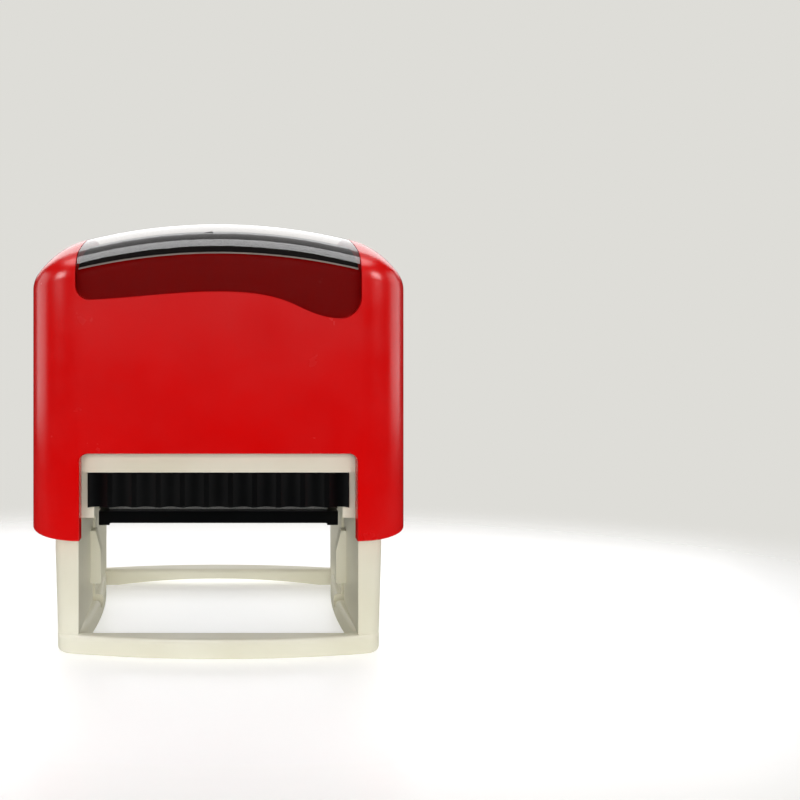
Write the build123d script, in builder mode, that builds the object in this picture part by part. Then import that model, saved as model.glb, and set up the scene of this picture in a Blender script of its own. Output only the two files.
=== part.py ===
from build123d import *
import os
from math import asin, cos, pi, sin

os.makedirs("parts", exist_ok=True)

# Self inking stamp, in millimetres. +Z is up, the stamp prints downwards, and its front looks along -Y.
# The origin is on the printing surface, under the middle of the foot. Everything is at rest, with the
# cover up and the die turned up against the ink pad.

# The print
pad_length = 38.0
pad_width = 14.0
pad_thickness = 3.2
die_margin = 0.2  # the die is this much smaller than the pad on each side
cushion_thickness = 0.8
die_base_thickness = 0.6
die_relief = 0.8
die_border_setback = 0.3
die_border = 0.8
die_bar = 1.2
die_bar_setback = 4.0  # from each end of the die
die_bars = 3

# Fits and gaps
sliding_gap = 0.3  # between pieces that pass each other
running_fit = 0.05  # radial, trunnion in its fork
slot_fit = 0.1  # each side, trunnion in its slot
seat_gap = 0.05  # between pieces that are laid on or pushed into each other
die_pad_gap = 0.5  # die face to pad face, room for the corner of the turning die
root = 0.5  # how far a rib or finger runs into the wall that it grows from

# Die carrier and its trunnions
axle_height = 20.4
face_offset = 2.75  # from the trunnions' axis to the die's printing face
trunnion_radius = 1.3
tray_end = 1.3  # tray past the pad, at each end
tray_side = 1.0  # tray past the pad, front and back
tray_drop = 1.45  # underside below the axis
end_step = 0.35  # the tray's ends are this much deeper
end_step_length = 1.8
boss_rim = 0.6  # boss round the root of each trunnion
boss_length = 1.0
tray_rib = 1.2
tray_pocket_depth = 1.0

# Ink pad cassette
cassette_rim = 1.9
cassette_height = 5.5
flute_pitch = 3.85
flute_radius = 2.4
flute_depth = 0.55
flute_count = 11
cassette_setback = 0.4  # behind the inside of the cover's front wall
cassette_roof = 1.4
cassette_wall = 1.2
cassette_frame = 2.4  # wall between the pad's pocket and the hollow beside it

# Base frame
leg_setback = 1.6  # leg's inner face past the cassette
leg_thickness = 4.3
leg_taper = 0.5
leg_depth_setback = 3.2  # leg's front edge behind the cover's front face
leg_corner = 3.0
leg_top_height = 7.5  # over this height the legs' front and rear faces slope in, clear of the deck
leg_top_taper = 1.0
foot_bar_height = 3.0
foot_bow_setback = 1.0  # middle of the foot bar behind the cover's front face
foot_inner_setback = 4.4  # inner edge of the foot bar behind the cover's front face
foot_side_bulge = 1.5  # the foot's side rails swell inwards by this much at their middle
rear_arch_rise = 1.25  # the rear bar's underside is lifted at its middle
rear_arch_reach = 20.0
foot_top_edge = 0.8
foot_low_edge = 0.4
ledge_height = 1.9
ledge_reach = 2.5
ledge_sweep_gap = 1.0  # past the sweep of the turning tray
ledge_end_setback = 0.9
cup_rib = 1.4
cup_below_frame_top = 2.0
roof_thickness = 1.8
lip_height = 3.0
lip_depth = 2.0
finger_low = 6.95
finger_bend = 12.7
finger_top = 16.2
finger_width = 1.8
finger_tip = 0.9
finger_setback = 0.4  # from the slot, and from the end of the tray

# Yoke
arm_thickness = 1.7
arm_width = 12.0
arm_end = 19.3
bridge_thickness = 2.0
bridge_below_top = 11.8
cup_wall = 1.4
cup_ceiling_below_top = 6.2
cup_corner = 1.5
cup_spring_gap = 0.6
yoke_shoulder = 1.2
arm_chamfer = 3.0
bridge_rib = 1.2
bridge_rib_height = 2.0
bridge_rib_end = 4.0
tab_width = 6.0
tab_height = 1.6
tab_reach = 0.8  # the snap tab stands out of the arm by this much

# Cover
cover_depth = 35.0
cover_height = 70.3
cover_bottom = 19.0
cover_wall = 2.0
cover_corner = 9.5
arch_radius = 97.0
arch_reach = 23.0  # half-width of the arched stretch of the top
shoulder_radius = 12.0
crown_radius = 40.0
edge_radius = 4.5
notch_height = 32.7
notch_corner = 1.3
notch_over_cassette = 0.9
rim_edge = 0.25  # rounding of the lower rim and the notches
pocket_width = 6.4
pocket_height = 1.9
pocket_depth = 0.7

# Index window and card
window_thickness = 1.3
card_thickness = 0.25
window_gap = 0.15
window_over_cassette = 1.4
window_side_drop = 11.0  # end of the straight sides below the top
window_left_drop = 13.4
window_crest_drop = 12.1
window_wave_drop = 13.7
window_dip_drop = 16.3
window_right_drop = 12.6
window_crest_place = -0.05  # as a share of the half-width
window_wave_place = 0.49
window_left_corner = 2.4
window_right_corner = 3.6
wave_slope = 0.05
card_setback = 0.1
card_end_drop = 6.1  # the card's ends run along the arch, this far below it
deck_thickness = 1.4
deck_margin = 1.5

# Main spring
spring_radius = 4.7
spring_wire = 0.5  # wire radius
spring_turns = 10.5

# Lock buttons
button_height = 36.0
button_radius = 2.8
button_flange_radius = 3.5
button_flange = 0.6
button_travel = 1.4
nose_radius = 1.2
button_sink = 0.2

# Places that follow from the sizes above
stroke = axle_height - face_offset
cassette_half = pad_length / 2 + cassette_rim
cassette_low = axle_height + face_offset + die_pad_gap
cassette_top = cassette_low + cassette_height
tray_half_x = pad_length / 2 + tray_end
tray_half_y = pad_width / 2 + tray_side
leg_in = cassette_half + leg_setback
leg_out = leg_in + leg_thickness
arm_in = leg_out + sliding_gap
arm_out = arm_in + arm_thickness
cover_in = arm_out + sliding_gap
cover_half_x = cover_in + cover_wall
cover_half_y = cover_depth / 2
cassette_half_y = cover_half_y - cover_wall - cassette_setback
leg_half_y = cover_half_y - leg_depth_setback
roof_low = cassette_top + 2 * seat_gap
roof_top = roof_low + roof_thickness
bridge_top = cover_height - bridge_below_top
bridge_low = bridge_top - bridge_thickness
frame_top = bridge_low - stroke - 2 * sliding_gap
cup_inner = spring_radius + spring_wire + cup_spring_gap
cup_outer = cup_inner + cup_wall
cup_ceiling = cover_height - cup_ceiling_below_top
notch_half = cassette_half + notch_over_cassette
window_half = cassette_half + window_over_cassette
recess_depth = window_thickness + card_thickness + 2 * seat_gap
tray_sweep = (tray_half_y**2 + tray_drop**2) ** 0.5
slot_half = trunnion_radius + slot_fit
slot_low = face_offset - trunnion_radius - sliding_gap
slot_high = axle_height + trunnion_radius + sliding_gap
flange_face = cover_in - 2 * seat_gap
below = cover_bottom - 2  # where forms that cut the cover's open end start
beyond = 1.0  # how far a cut runs past what it cuts
die_low = axle_height + face_offset - die_relief - die_base_thickness
cushion_low = die_low - cushion_thickness
sides = (-1, 1)


def cover_form(inset, bottom):
    """The cover's outer form moved inwards by inset: a rounded prism under a barrel-shaped top."""
    lean = asin(arch_reach / arch_radius)
    hub = arch_radius - shoulder_radius
    shoulder_x = hub * sin(lean)
    shoulder_y = crown_radius - arch_radius + hub * cos(lean)
    arch = arch_radius - inset
    shoulder = shoulder_radius - inset
    barrel_axis = cover_height - crown_radius
    halfway = (lean + pi / 2) / 2
    join = (arch * sin(lean), crown_radius - arch_radius + arch * cos(lean))
    quarter = (shoulder_x + shoulder * sin(halfway), shoulder_y + shoulder * cos(halfway))
    outer = (shoulder_x + shoulder, shoulder_y)
    with BuildPart() as form:
        with BuildSketch(Plane.XY.offset(barrel_axis)):
            with BuildLine():
                Line((-outer[0], 0), (-outer[0], outer[1]))
                ThreePointArc((-outer[0], outer[1]), (-quarter[0], quarter[1]), (-join[0], join[1]))
                ThreePointArc((-join[0], join[1]), (0, crown_radius - inset), join)
                ThreePointArc(join, quarter, outer)
                Line(outer, (outer[0], 0))
                Line((outer[0], 0), (-outer[0], 0))
            make_face()
        revolve(axis=Axis((0, 0, barrel_axis), (1, 0, 0)), revolution_arc=180)
        with BuildSketch(Plane.XY.offset(bottom)):
            Rectangle(3 * cover_half_x, 3 * cover_half_y)
        extrude(amount=barrel_axis - bottom)
        with BuildSketch(Plane.XY.offset(bottom)):
            RectangleRounded(2 * (cover_half_x - inset), 2 * (cover_half_y - inset), cover_corner - inset)
        extrude(amount=cover_height, mode=Mode.INTERSECT)
        walls = form.faces().filter_by(lambda f: abs(f.normal_at().Z) < 0.01)
        rim = walls.edges().filter_by(
            lambda e: e.center().Z > barrel_axis + 1 and abs(e.tangent_at(0.5).Z) < 0.9
        )
        fillet(rim, radius=edge_radius - inset)
    return form.part


def window_block(grow):
    """A block through the cover from front to back, with the window's wavy outline, let out by grow."""
    side = window_half + grow
    high = cover_height + beyond
    edge = cover_height - window_side_drop - grow
    low = cover_height - window_left_drop - grow
    crest = cover_height - window_crest_drop - grow
    wave = cover_height - window_wave_drop - grow
    dip = cover_height - window_dip_drop - grow
    right_edge = cover_height - window_right_drop - grow
    left = -side + window_left_corner
    right = side - window_right_corner
    downhill = (1, -wave_slope)
    with BuildPart() as block:
        with BuildSketch(Plane.XZ):
            with BuildLine():
                Line((side, high), (-side, high))
                Line((-side, high), (-side, edge))
                TangentArc((-side, edge), (left, low), tangent=(0, -1))
                Spline(
                    (left, low),
                    (window_crest_place * side, crest),
                    (window_wave_place * side, wave),
                    (right, dip),
                    tangents=((1, wave_slope), downhill),
                )
                TangentArc((right, dip), (side, right_edge), tangent=downhill)
                Line((side, right_edge), (side, high))
            make_face()
        extrude(amount=cover_depth, both=True)
    return block.part


outer_form = cover_form(0, cover_bottom)
recess_form = cover_form(recess_depth, below)

# The room inside the cover, held back at the top by the deck that the card and window lie on
with BuildPart() as cavity:
    add(cover_form(cover_wall, below))
    with BuildSketch(Plane.XY.offset(cover_height - window_dip_drop - deck_margin)):
        Rectangle(2 * (window_half + deck_margin), 2 * cover_depth)
    extrude(amount=cover_height, mode=Mode.SUBTRACT)
    add(cover_form(recess_depth + deck_thickness, below))

with BuildPart() as recess:
    add(window_block(window_gap))
    add(recess_form, mode=Mode.SUBTRACT)

# Cover: one shell, open below, notched front and back, with a hole for a lock button in each side
with BuildPart() as cover:
    add(outer_form)
    add(cavity.part, mode=Mode.SUBTRACT)
    add(recess.part, mode=Mode.SUBTRACT)
    with BuildSketch(Plane.XZ):
        with Locations((0, notch_height / 2)):
            RectangleRounded(2 * notch_half, notch_height, notch_corner)
    extrude(amount=cover_depth, both=True, mode=Mode.SUBTRACT)
    with BuildSketch(Plane.YZ):
        with Locations((0, button_height)):
            Circle(button_radius + slot_fit)
    extrude(amount=cover_half_x + beyond, both=True, mode=Mode.SUBTRACT)
    with BuildSketch(Plane.XY.offset(bridge_low + (bridge_thickness - pocket_height) / 2)):
        with GridLocations(2 * cover_in, 0, 2, 1):
            Rectangle(2 * pocket_depth, pocket_width)
    extrude(amount=pocket_height, mode=Mode.SUBTRACT)
    outer_rim = cover.edges().filter_by(
        lambda e: abs(e.center().Z - cover_bottom) < 0.01
        and max(abs(e.center().X) - cover_half_x, abs(e.center().Y) - cover_half_y) > -cover_wall / 2
    )
    notch_rims = cover.edges().filter_by(
        lambda e: abs(abs(e.center().Y) - cover_half_y) < 0.01 and e.center().Z < notch_height + 0.01
        and abs(e.center().X) < notch_half + 0.01
    )
    fillet(outer_rim + notch_rims, radius=rim_edge)
cover.part.label = "cover"
export_step(cover.part, "parts/cover.step")

# Index window: a smoked shell that wraps over the top, flush with the cover
with BuildPart() as index_window:
    add(outer_form)
    add(cover_form(window_thickness, below), mode=Mode.SUBTRACT)
    add(window_block(0), mode=Mode.INTERSECT)
index_window.part.label = "index_window"
export_step(index_window.part, "parts/index_window.step")

# Index card: a thin sheet bent over the deck, under the window
with BuildPart() as index_card:
    add(cover_form(window_thickness + seat_gap, cover_bottom))
    add(cover_form(window_thickness + seat_gap + card_thickness, below), mode=Mode.SUBTRACT)
    card_half = window_half - card_setback
    card_middle = cover_height - card_end_drop
    card_corner = card_middle - arch_radius + (arch_radius**2 - card_half**2) ** 0.5
    with BuildSketch(Plane.XZ):
        with BuildLine():
            ThreePointArc((-card_half, card_corner), (0, card_middle), (card_half, card_corner))
            Polyline(
                (card_half, card_corner),
                (card_half, cover_height + beyond),
                (-card_half, cover_height + beyond),
                (-card_half, card_corner),
            )
        make_face()
    extrude(amount=cover_depth, both=True, mode=Mode.INTERSECT)
index_card.part.label = "index_card"
export_step(index_card.part, "parts/index_card.step")

# Yoke: a bridge across the top of the cover, a cup for the spring, and two arms that carry the trunnions
with BuildPart() as yoke:
    with BuildSketch(Plane.XZ):
        with BuildLine():
            Polyline(
                (-arm_out, arm_end),
                (-arm_out, bridge_top),
                (arm_out, bridge_top),
                (arm_out, arm_end),
                (arm_in, arm_end),
                (arm_in, bridge_low),
                (-arm_in, bridge_low),
                (-arm_in, arm_end),
                (-arm_out, arm_end),
            )
        make_face()
    extrude(amount=arm_width / 2, both=True)
    shoulders = yoke.edges().filter_by(Axis.Y).group_by(Axis.Z)[-1]
    fillet(shoulders, radius=yoke_shoulder)
    tips = yoke.edges().filter_by(Axis.X).group_by(Axis.Z)[0]
    chamfer(tips, length=arm_chamfer)
    with BuildSketch(Plane.XY.offset(bridge_low)):
        Circle(cup_outer)
    extrude(amount=cup_ceiling + cup_wall - bridge_low)
    fillet(yoke.edges().filter_by(GeomType.CIRCLE).sort_by(Axis.Z)[-1], radius=cup_corner)
    with BuildSketch(Plane.XY.offset(bridge_low)):
        Circle(cup_inner)
    extrude(amount=cup_ceiling - bridge_low, mode=Mode.SUBTRACT)
    with BuildSketch(Plane.XY.offset(bridge_top)):
        with GridLocations(0, arm_width - 2 * bridge_rib, 1, 2):
            Rectangle(2 * (arm_out - bridge_rib_end), bridge_rib)
        Circle(cup_inner, mode=Mode.SUBTRACT)
    extrude(amount=bridge_rib_height)
    with BuildSketch(Plane.YZ):
        with Locations((0, axle_height)):
            Circle(trunnion_radius + running_fit)
        with Locations((0, button_height)):
            Circle(button_flange_radius + sliding_gap)
    extrude(amount=arm_out + beyond, both=True, mode=Mode.SUBTRACT)
    with BuildSketch(Plane.XY.offset(bridge_low + (bridge_thickness - tab_height) / 2)):
        with GridLocations(2 * arm_out, 0, 2, 1):
            Rectangle(2 * tab_reach, tab_width)
    extrude(amount=tab_height)
yoke.part.label = "yoke"
export_step(yoke.part, "parts/yoke.step")

# Foot: an open ring, bowed at the front and rear, whose bars are rounded above and below
with BuildPart() as foot:
    foot_half_x = leg_out - leg_taper
    foot_bow = cover_half_y - foot_bow_setback
    foot_inner = cover_half_y - foot_inner_setback
    with BuildSketch(Plane.XY):
        with BuildLine():
            Line((-foot_half_x, -leg_half_y), (-foot_half_x, leg_half_y))
            ThreePointArc((-foot_half_x, leg_half_y), (0, foot_bow), (foot_half_x, leg_half_y))
            Line((foot_half_x, leg_half_y), (foot_half_x, -leg_half_y))
            ThreePointArc((foot_half_x, -leg_half_y), (0, -foot_bow), (-foot_half_x, -leg_half_y))
        ring = make_face()
        fillet(ring.vertices(), radius=leg_corner)
        with BuildLine():
            Line((-leg_in, foot_inner), (leg_in, foot_inner))
            ThreePointArc((leg_in, foot_inner), (leg_in - foot_side_bulge, 0), (leg_in, -foot_inner))
            Line((leg_in, -foot_inner), (-leg_in, -foot_inner))
            ThreePointArc((-leg_in, -foot_inner), (-leg_in + foot_side_bulge, 0), (-leg_in, foot_inner))
        make_face(mode=Mode.SUBTRACT)
    extrude(amount=foot_bar_height)
    rims = foot.edges().filter_by(lambda e: abs(e.tangent_at(0.5).Z) < 0.01 and abs(e.center().X) < leg_in)
    fillet(rims.filter_by(lambda e: e.center().Z > foot_low_edge), radius=foot_top_edge)
    low_rims = foot.edges().filter_by(lambda e: e.center().Z < 0.01 and abs(e.center().Y) > leg_half_y)
    fillet(low_rims, radius=foot_low_edge)
    with BuildSketch(Plane.XZ):
        with BuildLine():
            ThreePointArc((-rear_arch_reach, 0), (0, rear_arch_rise), (rear_arch_reach, 0))
            Line((rear_arch_reach, 0), (-rear_arch_reach, 0))
        make_face()
    extrude(amount=-cover_depth, mode=Mode.SUBTRACT)

# Base frame: the foot, two slotted legs, and a roof over the cassette that the spring stands on
with BuildPart() as base_frame:
    for side in sides:
        with BuildSketch(Plane.XZ):
            with BuildLine():
                Polyline(
                    (side * leg_in, 0),
                    (side * (leg_out - leg_taper), 0),
                    (side * leg_out, cover_bottom - 3),
                    (side * leg_out, frame_top),
                    (side * leg_in, frame_top),
                    (side * leg_in, 0),
                )
            make_face()
        extrude(amount=leg_half_y, both=True)
    uprights = base_frame.edges().filter_by(
        lambda e: abs(abs(e.center().Y) - leg_half_y) < 0.01 and e.center().Z > foot_bar_height
        and abs(e.center().X) > leg_in + leg_thickness / 2 and abs(e.tangent_at(0.5).Z) > 0.9
    )
    fillet(uprights, radius=leg_corner)
    leg_shoulder = frame_top - leg_top_height
    leg_top_y = leg_half_y - leg_top_taper
    with BuildSketch(Plane.YZ):
        with BuildLine():
            Polyline(
                (-leg_half_y, 0),
                (leg_half_y, 0),
                (leg_half_y, leg_shoulder),
                (leg_top_y, frame_top),
                (-leg_top_y, frame_top),
                (-leg_half_y, leg_shoulder),
                (-leg_half_y, 0),
            )
        make_face()
    extrude(amount=leg_out, both=True, mode=Mode.INTERSECT)
    add(foot.part)
    # Cheeks that guide the cassette, the ledges it lies on, and the roof with its front and rear lips
    with BuildSketch(Plane.XY.offset(cassette_low)):
        Rectangle(2 * (leg_in + root), 2 * leg_half_y)
        Rectangle(2 * (cassette_half + window_gap), 2 * leg_half_y, mode=Mode.SUBTRACT)
    extrude(amount=roof_top - cassette_low)
    ledge_in = tray_sweep + ledge_sweep_gap
    ledge_out = cassette_half_y - ledge_end_setback
    with BuildSketch(Plane.XY.offset(cassette_low - ledge_height)):
        with GridLocations(2 * leg_in - ledge_reach + root, ledge_in + ledge_out, 2, 2):
            Rectangle(ledge_reach + root, ledge_out - ledge_in)
    extrude(amount=ledge_height)
    with BuildSketch(Plane.XY.offset(roof_low)):
        Rectangle(2 * (leg_in + root), 2 * leg_half_y)
    extrude(amount=roof_thickness)
    with BuildSketch(Plane.XY.offset(roof_low)):
        with GridLocations(0, 2 * cassette_half_y - lip_depth, 1, 2):
            Rectangle(2 * leg_in, lip_depth)
    extrude(amount=lip_height)
    # Cup that holds the lower end of the spring, tied to the legs by two ribs on each side
    with BuildSketch(Plane.XY.offset(roof_top)):
        Circle(cup_outer)
        with GridLocations(0, cup_outer, 1, 2):
            Rectangle(2 * (leg_in + root), cup_rib)
        Circle(cup_inner, mode=Mode.SUBTRACT)
    extrude(amount=frame_top - roof_top - cup_below_frame_top)
    # A flip finger in front of each slot
    finger_in = tray_half_x + finger_setback
    for side in sides:
        with BuildSketch(Plane.XZ.offset(slot_half + finger_setback)):
            with BuildLine():
                Polyline(
                    (side * (leg_in + root), finger_low),
                    (side * finger_in, finger_low),
                    (side * finger_in, finger_bend),
                    (side * (finger_in + finger_tip), finger_top),
                    (side * (leg_in + root), finger_top),
                    (side * (leg_in + root), finger_low),
                )
            make_face()
        extrude(amount=finger_width)
    # Trunnion slots through both legs, and a pocket for each lock button's nose
    with BuildSketch(Plane.YZ):
        with Locations((0, (slot_low + slot_high) / 2)):
            SlotOverall(slot_high - slot_low, 2 * slot_half, rotation=90)
    extrude(amount=leg_out + beyond, both=True, mode=Mode.SUBTRACT)
    for side in sides:
        with BuildSketch(Plane.YZ.offset(side * leg_out)):
            with Locations((0, button_height)):
                Circle(nose_radius + sliding_gap)
        extrude(amount=-side * 2 * button_travel, mode=Mode.SUBTRACT)
base_frame.part.label = "base_frame"
export_step(base_frame.part, "parts/base_frame.step")

# Ink pad cassette: a tray open below, with finger flutes down its front and rear faces
with BuildPart() as pad_cassette:
    with BuildSketch(Plane.XY.offset(cassette_low)):
        Rectangle(2 * cassette_half, 2 * cassette_half_y)
        with GridLocations(flute_pitch, 2 * (cassette_half_y + flute_radius - flute_depth), flute_count, 2):
            Circle(flute_radius, mode=Mode.SUBTRACT)
    extrude(amount=cassette_height)
    with BuildSketch(Plane.XY.offset(cassette_low)):
        Rectangle(pad_length + 2 * seat_gap, pad_width + 2 * seat_gap)
    extrude(amount=pad_thickness + seat_gap, mode=Mode.SUBTRACT)
    hollow = cassette_half_y - flute_depth - cassette_wall - pad_width / 2 - cassette_frame
    with BuildSketch(Plane.XY.offset(cassette_low)):
        with GridLocations(pad_length / 2, pad_width + hollow + 2 * cassette_frame, 2, 2):
            Rectangle(pad_length / 2 - cassette_wall, hollow)
    extrude(amount=cassette_height - cassette_roof, mode=Mode.SUBTRACT)
pad_cassette.part.label = "pad_cassette"
export_step(pad_cassette.part, "parts/pad_cassette.step")

# Ink pad: a felt block that fills the cassette's pocket
with BuildPart() as ink_pad:
    with BuildSketch(Plane.XY.offset(cassette_low)):
        Rectangle(pad_length, pad_width)
    extrude(amount=pad_thickness)
ink_pad.part.label = "ink_pad"
export_step(ink_pad.part, "parts/ink_pad.step")

# Die carrier: a ribbed tray with stepped ends and two trunnions, turned up at rest
with BuildPart() as die_carrier:
    with BuildSketch(Plane.XY.offset(axle_height - tray_drop)):
        Rectangle(2 * tray_half_x, 2 * tray_half_y)
    extrude(amount=cushion_low - axle_height + tray_drop)
    with BuildSketch(Plane.XY.offset(axle_height - tray_drop - end_step)):
        with GridLocations(2 * tray_half_x - end_step_length, 0, 2, 1):
            Rectangle(end_step_length, 2 * tray_half_y)
    extrude(amount=end_step + root)
    with BuildSketch(Plane.XY.offset(axle_height - tray_drop)):
        with GridLocations(pad_length / 4, pad_width / 2, 4, 2):
            Rectangle(pad_length / 4 - tray_rib, pad_width / 2 - tray_rib)
    extrude(amount=tray_pocket_depth, mode=Mode.SUBTRACT)
    for side in sides:
        boss_start = tray_half_x - boss_length
        for radius, length in ((trunnion_radius + boss_rim, boss_length), (trunnion_radius, arm_out - boss_start)):
            with BuildSketch(Plane.YZ.offset(side * boss_start)):
                with Locations((0, axle_height)):
                    Circle(radius)
            extrude(amount=side * length)
die_carrier.part.label = "die_carrier"
export_step(die_carrier.part, "parts/die_carrier.step")

# Foam cushion between the tray and the rubber
with BuildPart() as die_cushion:
    with BuildSketch(Plane.XY.offset(cushion_low)):
        Rectangle(pad_length - 2 * die_margin, pad_width - 2 * die_margin)
    extrude(amount=cushion_thickness)
die_cushion.part.label = "die_cushion"
export_step(die_cushion.part, "parts/die_cushion.step")

# Rubber die: a thin base with a raised border and three plain bars
with BuildPart() as rubber_die:
    die_x = pad_length - 2 * die_margin
    die_y = pad_width - 2 * die_margin
    with BuildSketch(Plane.XY.offset(die_low)):
        Rectangle(die_x, die_y)
    extrude(amount=die_base_thickness)
    with BuildSketch(Plane.XY.offset(die_low + die_base_thickness)):
        Rectangle(die_x - 2 * die_border_setback, die_y - 2 * die_border_setback)
        inner = die_border_setback + die_border
        Rectangle(die_x - 2 * inner, die_y - 2 * inner, mode=Mode.SUBTRACT)
        with GridLocations(0, die_y / (die_bars + 1), 1, die_bars):
            Rectangle(die_x - 2 * die_bar_setback, die_bar)
    extrude(amount=die_relief)
rubber_die.part.label = "rubber_die"
export_step(rubber_die.part, "parts/rubber_die.step")

# Main spring: a compression coil between the frame's cup and the yoke's cup
with BuildPart() as main_spring:
    spring_low = roof_top + spring_wire + seat_gap
    spring_length = cup_ceiling - spring_wire - seat_gap - spring_low
    with BuildLine():
        coil = Helix(spring_length / spring_turns, spring_length, spring_radius, center=(0, 0, spring_low))
    with BuildSketch(Plane(origin=coil @ 0, z_dir=coil % 0)):
        Circle(spring_wire)
    sweep(path=coil, is_frenet=True)
main_spring.part.label = "main_spring"
export_step(main_spring.part, "parts/main_spring.step")

# Lock buttons: a round head in the cover's side, a flange behind the wall, and a nose for the frame's pocket
for side, name in zip(sides, ("lock_button_left", "lock_button_right")):
    with BuildPart() as lock_button:
        steps = (
            (button_radius, cover_half_x - button_sink, cover_in),
            (button_flange_radius, flange_face, flange_face - button_flange),
            (button_radius, cover_in, flange_face),
            (nose_radius, flange_face - button_flange, arm_in),
        )
        for radius, start, end in steps:
            with BuildSketch(Plane.YZ.offset(side * start)):
                with Locations((0, button_height)):
                    Circle(radius)
            extrude(amount=side * (end - start))
    lock_button.part.label = name
    export_step(lock_button.part, f"parts/{name}.step")
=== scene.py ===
import bpy
from math import cos, pi, radians, sin
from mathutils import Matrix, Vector


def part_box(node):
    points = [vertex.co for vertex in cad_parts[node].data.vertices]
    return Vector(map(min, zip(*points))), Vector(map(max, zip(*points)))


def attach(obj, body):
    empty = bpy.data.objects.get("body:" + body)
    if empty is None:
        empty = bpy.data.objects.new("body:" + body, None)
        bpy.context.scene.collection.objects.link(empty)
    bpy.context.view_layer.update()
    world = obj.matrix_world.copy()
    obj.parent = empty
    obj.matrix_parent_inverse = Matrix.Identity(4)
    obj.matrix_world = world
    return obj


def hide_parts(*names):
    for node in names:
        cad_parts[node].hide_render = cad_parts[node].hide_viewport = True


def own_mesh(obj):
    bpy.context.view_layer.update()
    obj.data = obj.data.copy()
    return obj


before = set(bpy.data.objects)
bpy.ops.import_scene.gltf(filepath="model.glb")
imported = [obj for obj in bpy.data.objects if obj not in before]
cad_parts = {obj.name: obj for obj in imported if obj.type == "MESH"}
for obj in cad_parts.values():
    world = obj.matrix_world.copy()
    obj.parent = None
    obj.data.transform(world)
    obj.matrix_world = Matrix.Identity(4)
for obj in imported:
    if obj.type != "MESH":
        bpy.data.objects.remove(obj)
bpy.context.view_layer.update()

# Base frame. One ABS moulding in ivory: an open foot, two slotted legs, and the crossbar over the cassette.
# It comes out of a lightly spark-eroded mould, so it keeps a soft sheen over a very fine grain, and the
# ivory turns a little warmer from place to place, as unpainted ABS does.
MM = 0.001


def linear(hex_colour):
    """An sRGB hex colour as the linear colour that a shader takes."""
    parts = [int(hex_colour[i : i + 2], 16) / 255 for i in (1, 3, 5)]
    return [c / 12.92 if c <= 0.04045 else ((c + 0.055) / 1.055) ** 2.4 for c in parts] + [1.0]


def new_material(name):
    """A material with an empty node tree."""
    material = bpy.data.materials.new(name)
    material.use_nodes = True
    material.node_tree.nodes.clear()
    return material


def add_node(material, kind, settings=None, inputs=None):
    """Adds a node, sets its properties, and fills its inputs with values or with links from sockets."""
    made = material.node_tree.nodes.new(kind)
    for name, value in (settings or {}).items():
        setattr(made, name, value)
    for name, value in (inputs or {}).items():
        if isinstance(value, bpy.types.NodeSocket):
            material.node_tree.links.new(value, made.inputs[name])
        else:
            made.inputs[name].default_value = value
    return made


def noise(material, size_mm, detail=2.0, roughness=0.5, stretch=(1, 1, 1)):
    """Noise whose blobs are about size_mm across, longer along an axis whose stretch is below 1."""
    place = add_node(material, "ShaderNodeTexCoord").outputs["Object"]
    if stretch != (1, 1, 1):
        place = add_node(
            material, "ShaderNodeMapping", {}, {"Vector": place, "Scale": stretch}
        ).outputs["Vector"]
    inputs = {"Vector": place, "Scale": 1 / (size_mm * MM), "Detail": detail, "Roughness": roughness}
    return add_node(material, "ShaderNodeTexNoise", {}, inputs).outputs["Fac"]


def spread(material, value, low, high, start=0.3, end=0.7):
    """Noise between start and end spread out over the range from low to high."""
    inputs = {"Value": value, "From Min": start, "From Max": end, "To Min": low, "To Max": high}
    return add_node(material, "ShaderNodeMapRange", {}, inputs).outputs["Result"]


def blend_colours(material, factor, first, second):
    """A mix of two hex colours."""
    made = add_node(material, "ShaderNodeMix", {"data_type": "RGBA"}, {"Factor": factor})
    made.inputs["A"].default_value = linear(first)
    made.inputs["B"].default_value = linear(second)
    return made.outputs["Result"]


def bumps(material, layers):
    """Stacked bump nodes, coarse first, each a pair of a height socket and its depth in millimetres."""
    normal = None
    for height, depth_mm in layers:
        inputs = {"Height": height, "Distance": depth_mm * MM, "Strength": 1.0}
        if normal is not None:
            inputs["Normal"] = normal
        normal = add_node(material, "ShaderNodeBump", {}, inputs).outputs["Normal"]
    return normal


SINK_MARK = 11.0  # these three are how wide such a patch is, in millimetres
HANDLING_MARK = 7.0
COLOUR_DRIFT = 16.0


def moulded_abs(name, colour, second_colour, roughness, grain_mm, grain_depth_mm, sink_depth_mm, specular):
    """Moulded ABS: colour drifting slowly to a second one, a spark-eroded grain, faint sink marks in the
    larger faces, and a sheen that handling has made a little uneven."""
    material = new_material(name)
    grain = noise(material, grain_mm, detail=2.0, roughness=0.6)
    sink = noise(material, SINK_MARK, detail=1.0)
    handled = noise(material, HANDLING_MARK, detail=4.0, roughness=0.65)
    drift = spread(material, noise(material, COLOUR_DRIFT), 0, 1)
    surface = add_node(
        material,
        "ShaderNodeBsdfPrincipled",
        {},
        {
            "Base Color": blend_colours(material, drift, colour, second_colour),
            "Roughness": spread(material, handled, roughness - 0.04, roughness + 0.05),
            "Normal": bumps(material, [(sink, sink_depth_mm), (grain, grain_depth_mm)]),
            "IOR": 1.52,
            "Specular IOR Level": specular,
        },
    )
    add_node(material, "ShaderNodeOutputMaterial", {}, {"Surface": surface.outputs["BSDF"]})
    return material


def finish_node(node, material):
    """Gives a CAD node its finished material."""
    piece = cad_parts[node]
    piece.data.materials.clear()
    piece.data.materials.append(material)
    return piece


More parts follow.
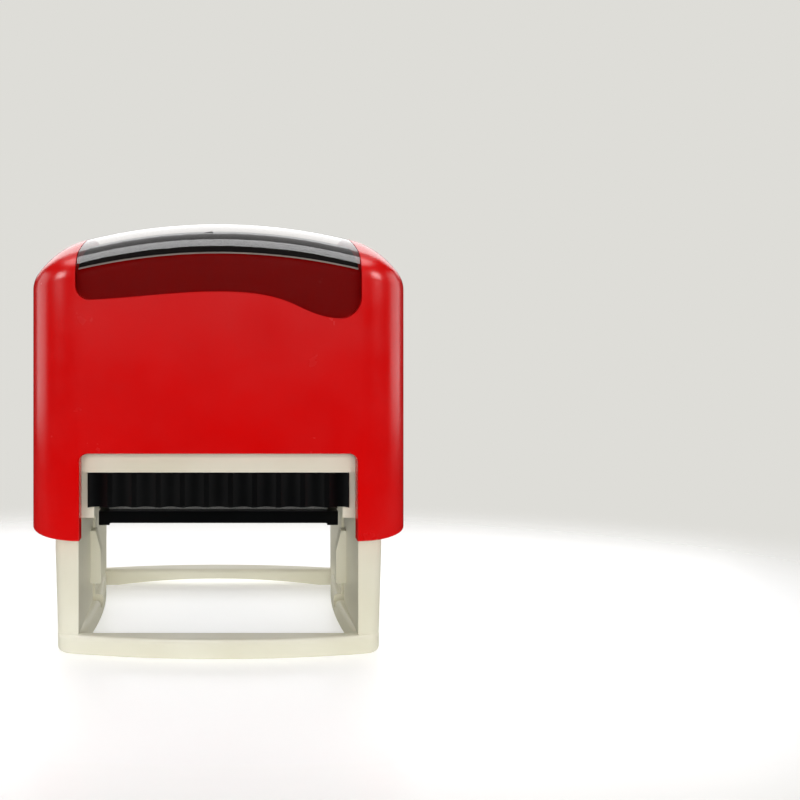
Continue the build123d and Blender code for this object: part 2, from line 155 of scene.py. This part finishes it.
# Gives the eye a smooth warm ivory with a soft, slightly broken sheen.
ivory_abs = moulded_abs(
    "ivory_abs_spark_eroded",
    "#E6E3D0",
    "#DDD9C2",
    roughness=0.38,
    grain_mm=0.28,
    grain_depth_mm=0.0035,
    sink_depth_mm=0.02,
    specular=0.4,
)
finish_node("base_frame", ivory_abs)

# Pad cassette. A black ABS tray that holds the ink pad, pushed in under the crossbar from the front. Its
# front and rear faces are fluted for the fingertips, and a coarser eroded mould leaves an even grain on it.
# Gives the eye a deep black that greys only where a light grazes the grain.
black_abs = moulded_abs(
    "black_abs_grained",
    "#020304",
    "#050606",
    roughness=0.46,
    grain_mm=0.22,
    grain_depth_mm=0.012,
    sink_depth_mm=0.01,
    specular=0.2,
)
finish_node("pad_cassette", black_abs)

# Ink pad. A block of pressed wool felt soaked with ink, pushed into the cassette's pocket. It is slightly
# crowned, its lower edges are rounded, and its face is a matt mat of short crossing fibres.
PAD_ROUNDING = 0.55
PAD_CROWN = 0.18
PAD_CUTS = 12
FELT_FIBRE = 0.5  # thicker than real wool fibres, so that they show
FELT_CROSS_FIBRE = 0.45
FELT_CLUMP = 1.6


def soft_block(name, node, cuts, rounding_mm):
    """A block in the space of a CAD node, subdivided so that its faces can be shaped, with rounded edges."""
    low, high = (Vector(corner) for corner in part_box(node))
    bpy.ops.object.select_all(action="DESELECT")
    bpy.ops.mesh.primitive_cube_add(size=1, location=(low + high) / 2)
    piece = bpy.context.object
    piece.name = name
    piece.scale = high - low
    bpy.ops.object.transform_apply(location=True, rotation=True, scale=True)
    bpy.ops.object.mode_set(mode="EDIT")
    bpy.ops.mesh.select_all(action="SELECT")
    bpy.ops.mesh.bevel(offset=rounding_mm * MM, segments=4, affect="EDGES")
    bpy.ops.mesh.select_all(action="SELECT")
    bpy.ops.mesh.subdivide(number_cuts=cuts)
    bpy.ops.mesh.normals_make_consistent(inside=False)
    bpy.ops.object.mode_set(mode="OBJECT")
    bpy.ops.object.shade_smooth()
    return piece, low, high


ink_pad, low, high = soft_block("ink_pad_felt", "ink_pad", PAD_CUTS, PAD_ROUNDING)
middle = (low + high) / 2
half = (high - low) / 2
for vertex in ink_pad.data.vertices:
    across = ((vertex.co.x - middle.x) / half.x) ** 2
    along = ((vertex.co.y - middle.y) / half.y) ** 2
    depth = (high.z - vertex.co.z) / (high.z - low.z)
    sag = 1 - (1 - across**2) * (1 - along**2)
    vertex.co.z += PAD_CROWN * MM * sag * depth

felt = new_material("wool_felt_inked")
fibres = noise(felt, FELT_FIBRE, detail=3.0, roughness=0.7, stretch=(1, 0.18, 1))
cross_fibres = noise(felt, FELT_CROSS_FIBRE, detail=3.0, roughness=0.7, stretch=(0.2, 1, 1))
clumps = noise(felt, FELT_CLUMP, detail=4.0, roughness=0.6)
felt_surface = add_node(
    felt,
    "ShaderNodeBsdfPrincipled",
    {},
    {
        "Base Color": blend_colours(felt, spread(felt, clumps, 0, 1), "#0C0C12", "#1D1E2A"),
        "Roughness": spread(felt, fibres, 0.55, 0.95),
        "Normal": bumps(felt, [(clumps, 0.16), (fibres, 0.07), (cross_fibres, 0.06)]),
        "Sheen Weight": 0.25,
        "Sheen Roughness": 0.5,
        "Specular IOR Level": 0.35,
    },
)
add_node(felt, "ShaderNodeOutputMaterial", {}, {"Surface": felt_surface.outputs["BSDF"]})
ink_pad.data.materials.append(felt)
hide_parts("ink_pad")
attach(ink_pad, "frame")

# Die carrier. A black ABS tray with stepped ends, ribs underneath and a trunnion at each end that runs in
# the fork of the yoke. It is a polished moulding, smoother than the cassette above it.
smooth_black_abs = moulded_abs(
    "black_abs_smooth",
    "#050607",
    "#090A0B",
    roughness=0.34,
    grain_mm=0.3,
    grain_depth_mm=0.004,
    sink_depth_mm=0.012,
    specular=0.32,
)
finish_node("die_carrier", smooth_black_abs)

# Die cushion. A strip of grey closed-cell foam, glued between the tray and the rubber so that the print
# presses evenly. Its cut sides are drawn in a little, and the cells show as fine pits whose bottoms are
# painted darker as painted shade.
FOAM_ROUNDING = 0.12
FOAM_DRAW_IN = 0.12
FOAM_EDGE = 15  # odd power that keeps the draw-in to the edges of the strip
FOAM_CUTS = 8
FOAM_CELL = 0.22
die_cushion, low, high = soft_block("die_cushion_foam", "die_cushion", FOAM_CUTS, FOAM_ROUNDING)
middle = (low + high) / 2
half = (high - low) / 2
for vertex in die_cushion.data.vertices:
    waist = 1 - ((vertex.co.z - middle.z) / half.z) ** 2
    for axis in (0, 1):
        side = (vertex.co[axis] - middle[axis]) / half[axis]
        vertex.co[axis] -= FOAM_DRAW_IN * MM * waist * side**FOAM_EDGE

foam = new_material("eva_foam_grey")
place = add_node(foam, "ShaderNodeTexCoord").outputs["Object"]
cells = add_node(
    foam, "ShaderNodeTexVoronoi", {}, {"Vector": place, "Scale": 1 / (FOAM_CELL * MM), "Randomness": 1.0}
).outputs["Distance"]
foam_surface = add_node(
    foam,
    "ShaderNodeBsdfPrincipled",
    {},
    {
        # the grey is darker at the middle of each cell, where the pits sink: painted shade in the pits
        "Base Color": blend_colours(foam, spread(foam, cells, 0, 1, 0, 0.6), "#5E5E5C", "#8E8E8B"),
        "Roughness": 0.88,
        "Normal": bumps(foam, [(cells, 0.05)]),
        "Specular IOR Level": 0.25,
    },
)
add_node(foam, "ShaderNodeOutputMaterial", {}, {"Surface": foam_surface.outputs["BSDF"]})
die_cushion.data.materials.append(foam)
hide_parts("die_cushion")
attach(die_cushion, "carrier")

# Rubber die. A laser-engraved sheet of grey rubber with a raised border and three plain bars. The engraving
# leaves fine parallel scan lines, drawn here coarser than the real 0.05 mm so that they show, and the rubber
# is stained by the ink.
SCAN_PITCH = 0.754
WAVE_TURNS = 20  # a wave texture of scale 1 turns through this many radians in a metre
rubber = new_material("rubber_laser_engraved")
scan = add_node(
    rubber,
    "ShaderNodeTexWave",
    {"wave_type": "BANDS", "bands_direction": "Y"},
    {
        "Vector": add_node(rubber, "ShaderNodeTexCoord").outputs["Object"],
        "Scale": 2 * pi / (WAVE_TURNS * SCAN_PITCH * MM),
        "Distortion": 0.4,
        "Detail": 1.0,
    },
).outputs["Fac"]
stain = noise(rubber, 2.4, detail=4.0, roughness=0.6)
rubber_surface = add_node(
    rubber,
    "ShaderNodeBsdfPrincipled",
    {},
    {
        "Base Color": blend_colours(rubber, spread(rubber, stain, 0, 1, 0.35, 0.65), "#5A5552", "#2A2830"),
        "Roughness": spread(rubber, stain, 0.5, 0.75),
        "Normal": bumps(rubber, [(stain, 0.01), (scan, 0.012)]),
        "Specular IOR Level": 0.4,
    },
)
add_node(rubber, "ShaderNodeOutputMaterial", {}, {"Surface": rubber_surface.outputs["BSDF"]})
finish_node("rubber_die", rubber)

# Main spring. Hard-drawn steel wire wound cold into an open coil, with a closed and ground turn at each end
# that stands in the cups of the frame and the yoke. The wire keeps fine lines along its length.
SPRING_WIRE = 0.5  # the wire's radius
SPRING_TURNS = 10.5
END_TURNS = 1.0
END_HEIGHT = 0.6  # share of the wire's radius that grinding leaves below the middle of the end turns
TURN_POINTS = 40
low, high = (Vector(corner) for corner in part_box("main_spring"))
spring_radius = (high.x - low.x) / 2 - SPRING_WIRE * MM
wire_low = low.z + SPRING_WIRE * MM * END_HEIGHT
wire_high = high.z - SPRING_WIRE * MM * END_HEIGHT
end_rise = 2 * SPRING_WIRE * MM * END_TURNS
coil = bpy.data.curves.new("main_spring_coil", "CURVE")
coil.dimensions = "3D"
coil.bevel_depth = SPRING_WIRE * MM
coil.bevel_resolution = 5
coil.use_fill_caps = True
wire = coil.splines.new("POLY")
count = int(SPRING_TURNS * TURN_POINTS)
wire.points.add(count)
for index in range(count + 1):
    turn = index / TURN_POINTS
    open_turns = SPRING_TURNS - 2 * END_TURNS
    if turn < END_TURNS:
        z = wire_low + end_rise * (turn / END_TURNS)
    elif turn > SPRING_TURNS - END_TURNS:
        z = wire_high - end_rise * ((SPRING_TURNS - turn) / END_TURNS)
    else:
        share = (turn - END_TURNS) / open_turns
        z = wire_low + end_rise + (wire_high - wire_low - 2 * end_rise) * share
    angle = 2 * pi * turn
    wire.points[index].co = (spring_radius * cos(angle), spring_radius * sin(angle), z, 1)
main_spring = bpy.data.objects.new("main_spring_wire", coil)
bpy.context.scene.collection.objects.link(main_spring)
bpy.ops.object.select_all(action="DESELECT")
main_spring.select_set(True)
bpy.context.view_layer.objects.active = main_spring
bpy.ops.object.convert(target="MESH")
main_spring = bpy.context.object
bpy.ops.object.mode_set(mode="EDIT")
for height, inner, outer in ((low.z, True, False), (high.z, False, True)):
    bpy.ops.mesh.select_all(action="SELECT")
    bpy.ops.mesh.bisect(
        plane_co=(0, 0, height), plane_no=(0, 0, 1), use_fill=True, clear_inner=inner, clear_outer=outer
    )
bpy.ops.mesh.select_all(action="SELECT")
bpy.ops.mesh.remove_doubles(threshold=0.001 * MM)
bpy.ops.mesh.normals_make_consistent(inside=False)
bpy.ops.object.mode_set(mode="OBJECT")
bpy.ops.object.shade_smooth_by_angle(angle=radians(40))

spring_steel = new_material("spring_steel_drawn_wire")
drawn = noise(spring_steel, 0.25, detail=2.0, stretch=(1, 1, 6))
steel_surface = add_node(
    spring_steel,
    "ShaderNodeBsdfPrincipled",
    {},
    {
        "Base Color": blend_colours(spring_steel, spread(spring_steel, drawn, 0, 1), "#B4B4B2", "#8E8F90"),
        "Metallic": 1.0,
        "Roughness": spread(spring_steel, drawn, 0.2, 0.38),
        "Normal": bumps(spring_steel, [(drawn, 0.004)]),
    },
)
add_node(spring_steel, "ShaderNodeOutputMaterial", {}, {"Surface": steel_surface.outputs["BSDF"]})
main_spring.data.materials.append(spring_steel)
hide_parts("main_spring")
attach(main_spring, "frame")
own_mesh(main_spring)

# Yoke. A black ABS bridge with two arms, snapped into pockets in the cover's side walls. The arms carry the
# trunnions and slide along the legs, so their faces are smooth.
finish_node("yoke", smooth_black_abs)

# Cover. A deep shell moulded in red ABS, notched at the front and rear, with a polished outside that the
# hand pushes on. Gives the eye a saturated red with soft, wide highlights along the rounded edges.
red_abs = moulded_abs(
    "red_abs_satin",
    "#DB0000",
    "#D50000",
    roughness=0.23,
    grain_mm=0.3,
    grain_depth_mm=0.0012,
    sink_depth_mm=0.01,
    specular=0.28,
)
finish_node("cover", red_abs)

# Lock buttons. Small red ABS push buttons in the cover's sides, moulded apart, a shade deeper and smoother.
button_abs = moulded_abs(
    "red_abs_button",
    "#BE0000",
    "#B60000",
    roughness=0.22,
    grain_mm=0.3,
    grain_depth_mm=0.0015,
    sink_depth_mm=0.01,
    specular=0.4,
)
for name in ("lock_button_left", "lock_button_right"):
    finish_node(name, button_abs)

# Index card. A slip of white paper printed black, under the window and bent over the deck. Its cut edges are
# trimmed along the arch and show the white of the paper, painted as a white band that also serves as a
# painted highlight line, and its black face has the faint tooth of paper.
CARD_ARCH = 97.0
# width of the white band along the arch: the paper's cut edge and a painted highlight line
PAPER_EDGE_AND_HIGHLIGHT = 0.26


def reckon(material, operation, *values):
    """The result of one sum on numbers and sockets."""
    made = add_node(material, "ShaderNodeMath", {"operation": operation})
    for index, value in enumerate(values):
        if isinstance(value, bpy.types.NodeSocket):
            material.node_tree.links.new(value, made.inputs[index])
        else:
            made.inputs[index].default_value = value
    return made.outputs["Value"]


card = new_material("black_card_uncoated")
tooth = noise(card, 0.18, detail=4.0, roughness=0.7)
place = add_node(card, "ShaderNodeTexCoord").outputs["Object"]
along = add_node(card, "ShaderNodeSeparateXYZ", {}, {"Vector": place}).outputs
arch_fall = reckon(card, "DIVIDE", reckon(card, "MULTIPLY", along["X"], along["X"]), 2 * CARD_ARCH * MM)
level = reckon(card, "ADD", along["Z"], arch_fall)
low, high = (Vector(corner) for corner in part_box("index_card"))
edge_level = low.z + high.x**2 / (2 * CARD_ARCH * MM)
black = blend_colours(card, spread(card, tooth, 0, 1), "#050505", "#0C0C0D")
# white band along the arch: the paper's cut edge, and also a painted highlight line
ink = add_node(
    card,
    "ShaderNodeMix",
    {"data_type": "RGBA"},
    {"Factor": reckon(card, "LESS_THAN", level, edge_level + PAPER_EDGE_AND_HIGHLIGHT * MM)},
)
card.node_tree.links.new(black, ink.inputs["A"])
ink.inputs["B"].default_value = linear("#FAF8F4")
card_surface = add_node(
    card,
    "ShaderNodeBsdfPrincipled",
    {},
    {
        "Base Color": ink.outputs["Result"],
        "Roughness": spread(card, tooth, 0.72, 0.88),
        "Normal": bumps(card, [(tooth, 0.012)]),
        "Specular IOR Level": 0.25,
    },
)
add_node(card, "ShaderNodeOutputMaterial", {}, {"Surface": card_surface.outputs["BSDF"]})
finish_node("index_card", card)

# Index window. A clear smoke-tinted acrylic shell, moulded with a high polish and snapped over the card.
# Each of its two faces takes out about a quarter of the light, and its outer face mirrors like glass, with
# the slight waviness and the faint flow lines of a thin moulding.
SMOKE_PER_FACE = "#DCD8D6"
WAVINESS = 9.0
FLOW_LINE = 0.5


def mix_shaders(material, factor, first, second):
    """A mix of two shaders: the first where the factor is 0, the second where it is 1."""
    made = add_node(material, "ShaderNodeMixShader", {}, {"Fac": factor})
    material.node_tree.links.new(first, made.inputs[1])
    material.node_tree.links.new(second, made.inputs[2])
    return made.outputs["Shader"]


smoked_acrylic = new_material("smoked_acrylic_polished")
waviness = noise(smoked_acrylic, WAVINESS, detail=1.0)
flow_lines = noise(smoked_acrylic, FLOW_LINE, detail=2.0, stretch=(0.04, 1, 1))
polish = bumps(smoked_acrylic, [(waviness, 0.012), (flow_lines, 0.0012)])
see_through = add_node(smoked_acrylic, "ShaderNodeBsdfTransparent", {}, {"Color": linear(SMOKE_PER_FACE)})
mirror = add_node(
    smoked_acrylic,
    "ShaderNodeBsdfAnisotropic",
    {},
    {"Color": linear("#FFFFFF"), "Roughness": 0.06, "Normal": polish},
)
fresnel = add_node(smoked_acrylic, "ShaderNodeFresnel", {}, {"IOR": 1.49, "Normal": polish}).outputs["Fac"]
inward = add_node(smoked_acrylic, "ShaderNodeNewGeometry").outputs["Backfacing"]
gloss = reckon(smoked_acrylic, "MULTIPLY", fresnel, reckon(smoked_acrylic, "SUBTRACT", 1.0, inward))
window_surface = mix_shaders(smoked_acrylic, gloss, see_through.outputs["BSDF"], mirror.outputs["BSDF"])
add_node(smoked_acrylic, "ShaderNodeOutputMaterial", {}, {"Surface": window_surface})
finish_node("index_window", smoked_acrylic)

# Table. A pale satin board that the stamp stands on, lit a little from within, which fades into the backdrop
# all round, nearer behind the stamp than beside it.
TABLE_RADIUS = 0.6
FADE_START = 0.03
FADE_END = 0.075
bpy.ops.object.select_all(action="DESELECT")
bpy.ops.mesh.primitive_circle_add(vertices=96, radius=TABLE_RADIUS, fill_type="NGON", location=(0, 0, 0))
table = bpy.context.object
table.name = "table"
board = new_material("board_white_satin")
place = add_node(board, "ShaderNodeTexCoord").outputs["Object"]
oval = add_node(board, "ShaderNodeMapping", {}, {"Vector": place, "Scale": (0.4, 1.0, 1.0)}).outputs["Vector"]
reach = add_node(board, "ShaderNodeVectorMath", {"operation": "LENGTH"}, {"Vector": oval}).outputs["Value"]
fade = add_node(
    board,
    "ShaderNodeMapRange",
    {"interpolation_type": "SMOOTHERSTEP"},
    {"Value": reach, "From Min": FADE_START, "From Max": FADE_END, "To Min": 0.0, "To Max": 1.0},
).outputs["Result"]
board_surface = add_node(
    board,
    "ShaderNodeBsdfPrincipled",
    {},
    {
        "Base Color": linear("#F2F2F1"),
        "Roughness": 0.25,
        "Specular IOR Level": 0.35,
        "Emission Color": linear("#FFFFFF"),
        "Emission Strength": 0.3,
    },
)
clear = add_node(board, "ShaderNodeBsdfTransparent")
faded = mix_shaders(board, fade, board_surface.outputs["BSDF"], clear.outputs["BSDF"])
add_node(board, "ShaderNodeOutputMaterial", {}, {"Surface": faded})
table.data.materials.append(board)
table.visible_glossy = False

# Studio. A pale grey backdrop that glossy faces see only dimly, a wide light behind, a broad card overhead
# that only reflections see, a softbox low at each side of the front, and a low fill that reflections miss.
world = bpy.data.worlds.new("studio")
bpy.context.scene.world = world
world.use_nodes = True
world.node_tree.nodes.clear()
rays = add_node(world, "ShaderNodeLightPath").outputs
air = add_node(
    world, "ShaderNodeBackground", {}, {"Color": linear("#F4F6FA"), "Strength": 0.24}
).outputs["Background"]
for ray, colour, strength in (("Is Glossy Ray", "#F4F6FA", 0.02), ("Is Camera Ray", "#DEDDD8", 1.0)):
    seen = add_node(world, "ShaderNodeBackground", {}, {"Color": linear(colour), "Strength": strength})
    air = mix_shaders(world, rays[ray], air, seen.outputs["Background"])
add_node(world, "ShaderNodeOutputWorld", {}, {"Surface": air})


def softbox(name, place, aim, size, brightness, lights="all"):
    """A rectangular light of that brightness, beside white paper in full light, turned towards aim. It
    lights all, only faces or only reflections."""
    light = bpy.data.lights.new(name, "AREA")
    light.shape = "RECTANGLE"
    light.size, light.size_y = size
    light.energy = brightness * pi * size[0] * size[1]
    lamp = bpy.data.objects.new(name, light)
    bpy.context.scene.collection.objects.link(lamp)
    lamp.location = place
    lamp.rotation_euler = (Vector(aim) - Vector(place)).to_track_quat("-Z", "Y").to_euler()
    lamp.visible_camera = False
    lamp.visible_diffuse = lights != "reflections"
    lamp.visible_glossy = lights != "faces"
    return lamp


softbox("rear_softbox", (0, 0.55, 0.36), (0, 0, 0.05), (1.1, 0.4), 1.9)
softbox("overhead_light", (0, -0.05, 0.7), (0, 0, 0.05), (0.7, 0.4), 1.8, "faces")
softbox("overhead_card", (0, -0.19, 0.6), (0, -0.19, 0), (1.0, 0.38), 7.0, "reflections")
softbox("overhead_card_rear", (0, 0.3, 0.6), (0, 0.3, 0), (1.0, 0.6), 0.95, "reflections")
for side_name, side in (("left", -1), ("right", 1)):
    low_place = (side * 0.5, -0.34, 0.21)
    softbox(f"{side_name}_softbox", low_place, (0, 0, 0.04), (0.17, 0.17), 18.0, "reflections")
    softbox(f"{side_name}_rim", (side * 0.5, 0.12, 0.1), (0, 0, 0.05), (0.3, 0.3), 2.0)
softbox("front_fill", (0, -0.45, 0.16), (0, 0, 0.02), (0.5, 0.2), 4.4, "faces")
bpy.context.scene.view_settings.view_transform = "Standard"

# Camera. At the height of the upper part of the cover, looking level at the front.
lens = bpy.data.cameras.new("camera")
camera = bpy.data.objects.new("camera", lens)
bpy.context.scene.collection.objects.link(camera)
camera.location = (0, -0.1285, 0.0568)
camera.rotation_euler = (radians(90), 0, 0)
lens.sensor_width = 36
lens.lens = 31.95
lens.shift_x = 0.227
lens.shift_y = -0.125
lens.clip_start = 0.01
bpy.context.scene.camera = camera
